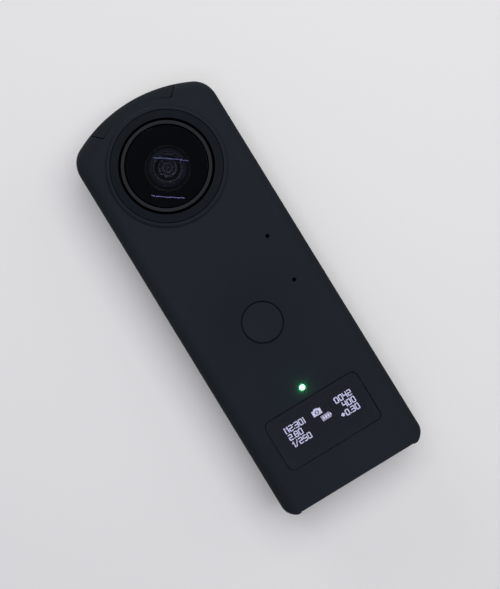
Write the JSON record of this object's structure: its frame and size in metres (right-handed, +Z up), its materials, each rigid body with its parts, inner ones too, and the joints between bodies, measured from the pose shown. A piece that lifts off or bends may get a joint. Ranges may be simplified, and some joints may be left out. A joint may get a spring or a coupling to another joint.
{
  "type": "360 degree camera",
  "caption": "Slim upright panoramic camera with a fisheye dome on front and rear, a round shutter button, a small display, side buttons and a tripod socket in the base.",
  "frame": {"origin": "centre of the tripod socket's mouth, on the base", "axes": "+Z up along the body, the face with the shutter button looks along -Y, +X is its right side"},
  "size_m": [0.048, 0.0296, 0.1325],
  "materials": {
    "body_paint": "matte black paint with a fine grain on a magnesium shell",
    "cap_plastic": "matte black plastic, clear to radio",
    "base_plastic": "matte black plastic",
    "bezel_black": "satin black plastic",
    "ring_metal": "dark anodised",
    "dome_glass": "coated glass",
    "inner_glass": "coated glass",
    "optics_black": "dull black, no glare",
    "blade_metal": "blackened",
    "rubber": "soft black",
    "steel": "plain",
    "black_plastic": "moulded",
    "window": "smoked",
    "panel": "dark display with lit dots",
    "lamp": "lit green",
    "circuit": "solder mask",
    "sensor": "sensor under glass",
    "frame": "cast",
    "copper": "foil",
    "cell": "foil pouch"
  },
  "bodies": {
    "camera_body": {"front_shell": "body_paint", "rear_shell": "body_paint", "antenna_cap": "cap_plastic", "antenna": "copper", "base_plate": "base_plastic", "base_screws": "steel", "tripod_bush": "steel", "usb_socket": "steel", "usb_tongue": "black_plastic", "strap_bar": "steel", "front_lens_dome": "dome_glass", "rear_lens_dome": "dome_glass", "front_lens_ring": "ring_metal", "rear_lens_ring": "ring_metal", "front_lens_bezel": "bezel_black", "rear_lens_bezel": "bezel_black", "front_lens_gasket": "rubber", "rear_lens_gasket": "rubber", "front_lens_barrel": "optics_black", "rear_lens_barrel": "optics_black", "front_second_lens": "inner_glass", "rear_second_lens": "inner_glass", "front_third_lens": "inner_glass", "rear_third_lens": "inner_glass", "front_entry_prism": "inner_glass", "rear_entry_prism": "inner_glass", "front_relay_tube": "optics_black", "rear_relay_tube": "optics_black", "iris_motors": "black_plastic", "front_fold_prism": "inner_glass", "rear_fold_prism": "inner_glass", "front_exit_tube": "optics_black", "rear_exit_tube": "optics_black", "front_image_sensor": "sensor", "rear_image_sensor": "sensor", "sensor_boards": "circuit", "lens_block": "optics_black", "shutter_switch": "black_plastic", "side_key_board": "circuit", "side_switches": "steel", "display_window": "window", "display_panel": "panel", "status_lamp": "lamp", "microphones": "steel", "microphone_gaskets": "rubber", "speaker": "black_plastic", "mid_frame": "frame", "main_board": "circuit", "board_screws": "steel", "board_chips": "black_plastic", "shield_can": "steel", "battery": "cell", "battery_pad": "rubber"},
    "shutter": {"shutter_button": "body_paint"},
    "function_key": {"function_button": "body_paint"},
    "mode_key": {"mode_button": "body_paint"},
    "wireless_key": {"wireless_button": "body_paint"},
    "power_key": {"power_button": "body_paint"},
    "front_iris_blade": {"front_iris": "blade_metal"},
    "rear_iris_blade": {"rear_iris": "blade_metal"}
  },
  "joints": [
    {"name": "shutter_press", "type": "slide", "parent": "camera_body", "child": "shutter", "axis": [0, 1, 0], "range_m": [0, 0.0004], "stiffness_N_per_m": 2000, "springref_m": -0.0001},
    {"name": "function_press", "type": "slide", "parent": "camera_body", "child": "function_key", "axis": [-1, 0, 0], "range_m": [0, 0.0003], "stiffness_N_per_m": 2000, "springref_m": -0.0001},
    {"name": "mode_press", "type": "slide", "parent": "camera_body", "child": "mode_key", "axis": [-1, 0, 0], "range_m": [0, 0.0003], "stiffness_N_per_m": 2000, "springref_m": -0.0001},
    {"name": "wireless_press", "type": "slide", "parent": "camera_body", "child": "wireless_key", "axis": [-1, 0, 0], "range_m": [0, 0.0003], "stiffness_N_per_m": 2000, "springref_m": -0.0001},
    {"name": "power_press", "type": "slide", "parent": "camera_body", "child": "power_key", "axis": [-1, 0, 0], "range_m": [0, 0.0003], "stiffness_N_per_m": 2000, "springref_m": -0.0001},
    {"name": "front_iris_swing", "type": "hinge", "parent": "camera_body", "child": "front_iris_blade", "pos_m": [0.0065, -0.0024, 0.1025], "axis": [-1, 0, 0], "range_deg": [0, 40]},
    {"name": "rear_iris_swing", "type": "hinge", "parent": "camera_body", "child": "rear_iris_blade", "pos_m": [-0.0065, 0.0024, 0.1025], "axis": [1, 0, 0], "range_deg": [0, 40]}
  ],
  "couplings": [
    {"joint": "rear_iris_swing", "follows": "front_iris_swing", "ratio": 1}
  ]
}
